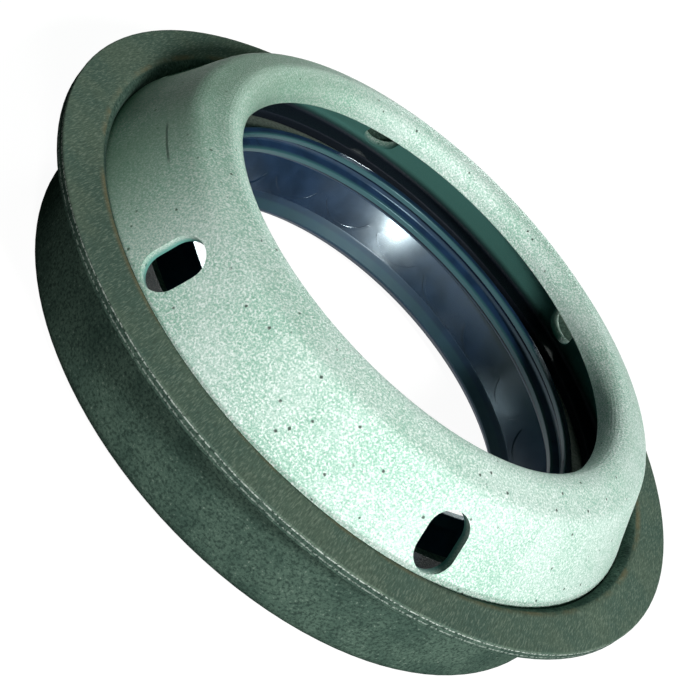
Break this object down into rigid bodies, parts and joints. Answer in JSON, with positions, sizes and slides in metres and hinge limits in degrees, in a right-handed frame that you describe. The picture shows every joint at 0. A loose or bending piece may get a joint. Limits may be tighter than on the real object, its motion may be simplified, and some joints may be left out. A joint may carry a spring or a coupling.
{
  "type": "shaft oil seal",
  "caption": "Flanged rotary shaft oil seal: pressed steel case, rubber lip with a garter spring on a seat ring, and a conical dust shield with drain slots.",
  "frame": {"origin": "on the shaft axis, at the underside of the case's inturned foot, on which the seal stands", "axes": "+Z along the shaft axis, from the oil side to the air side, where the dust shield is; +X through the middle of one drain slot"},
  "size_m": [0.069, 0.069, 0.0179],
  "materials": {
    "case_steel": "matt charcoal phosphate coat on pressed steel, fine scuffs",
    "seat_steel": "plain pressed steel",
    "seal_rubber": "glossy oiled black rubber",
    "spring_steel": "bright spring wire",
    "shield_steel": "matt zinc-coated steel, fine grain and small dark pits"
  },
  "bodies": {
    "root": {"outer_case": "case_steel", "seat_ring": "seat_steel", "seal_element": "seal_rubber", "garter_spring": "spring_steel", "dust_shield": "shield_steel"}
  },
  "joints": []
}
